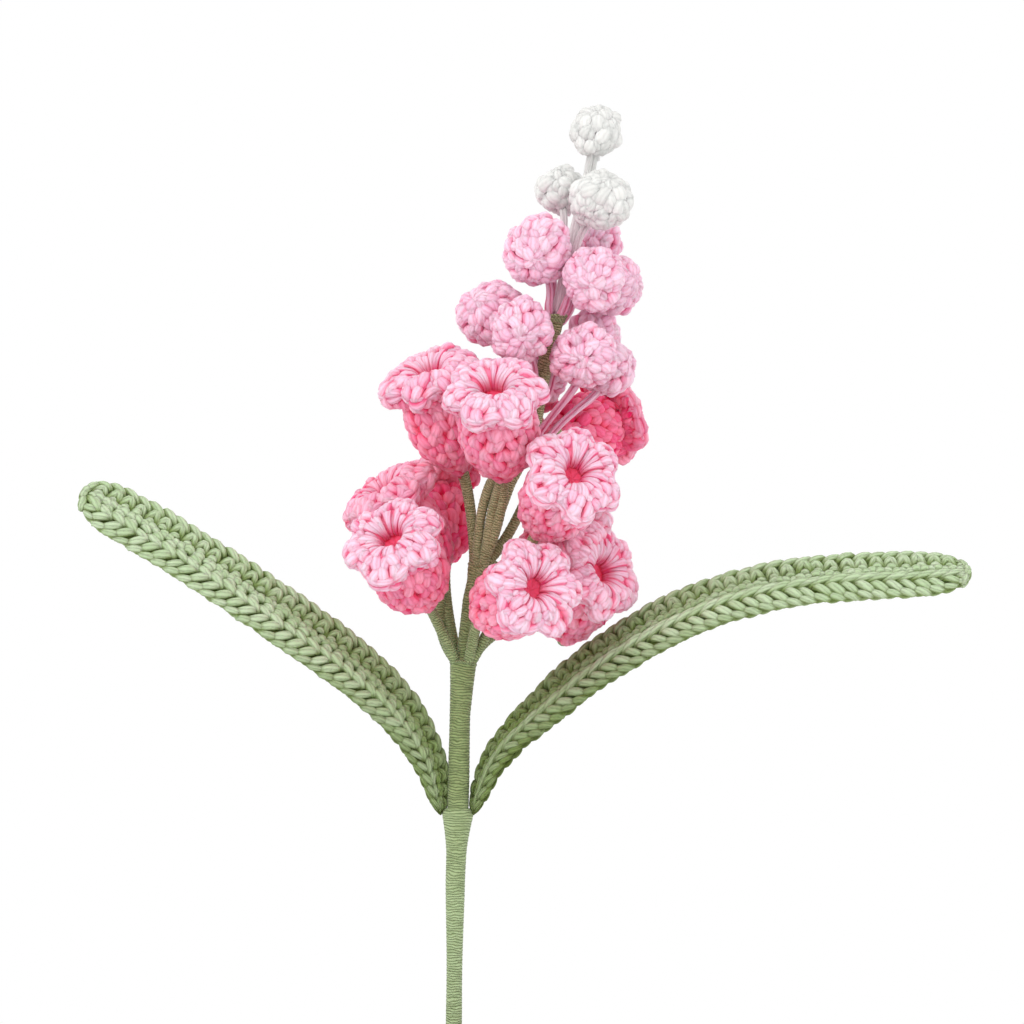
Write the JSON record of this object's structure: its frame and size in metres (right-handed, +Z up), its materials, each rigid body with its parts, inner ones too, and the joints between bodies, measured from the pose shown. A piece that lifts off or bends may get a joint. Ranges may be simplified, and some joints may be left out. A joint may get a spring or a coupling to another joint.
{
  "type": "potted crocheted flower",
  "caption": "Crocheted flower spike of ruffled pink bells and round buds on a wrapped wire stem with two long leaves, standing in a plain clay pot.",
  "frame": {"origin": "centre of the pot's flat base, on the surface that it stands on", "axes": "+Z up along the stem; the flower's best side faces -Y; +X towards the leaf that reaches further"},
  "size_m": [0.248, 0.0895, 0.342],
  "materials": {
    "bell_yarn": "soft rose pink crochet yarn, matt",
    "bud_yarn": "pale pink crochet yarn, matt",
    "white_yarn": "off-white crochet yarn, matt",
    "leaf_yarn": "sage green crochet yarn, matt",
    "stem_thread": "green thread wound tightly over wire",
    "clay": "unglazed fired clay, matt",
    "earth": "dry potting soil, rough"
  },
  "bodies": {
    "root": {"bell_1": "bell_yarn", "bell_2": "bell_yarn", "bell_3": "bell_yarn", "bell_4": "bell_yarn", "bell_5": "bell_yarn", "bell_6": "bell_yarn", "bell_7": "bell_yarn", "bell_8": "bell_yarn", "bell_9": "bell_yarn", "bell_10": "bell_yarn", "bell_11": "bell_yarn", "bud_white_1": "white_yarn", "bud_white_2": "white_yarn", "bud_white_3": "white_yarn", "bud_pink_1": "bud_yarn", "bud_pink_2": "bud_yarn", "bud_pink_3": "bud_yarn", "bud_pink_4": "bud_yarn", "bud_pink_5": "bud_yarn", "bud_pink_6": "bud_yarn", "bud_pink_7": "bud_yarn", "bud_pink_8": "bud_yarn", "bud_pink_9": "bud_yarn", "bud_pink_10": "bud_yarn", "bud_pink_11": "bud_yarn", "bud_pink_12": "bud_yarn", "leaf_left": "leaf_yarn", "leaf_right": "leaf_yarn", "stem": "stem_thread", "pot": "clay", "soil": "earth"}
  },
  "joints": []
}
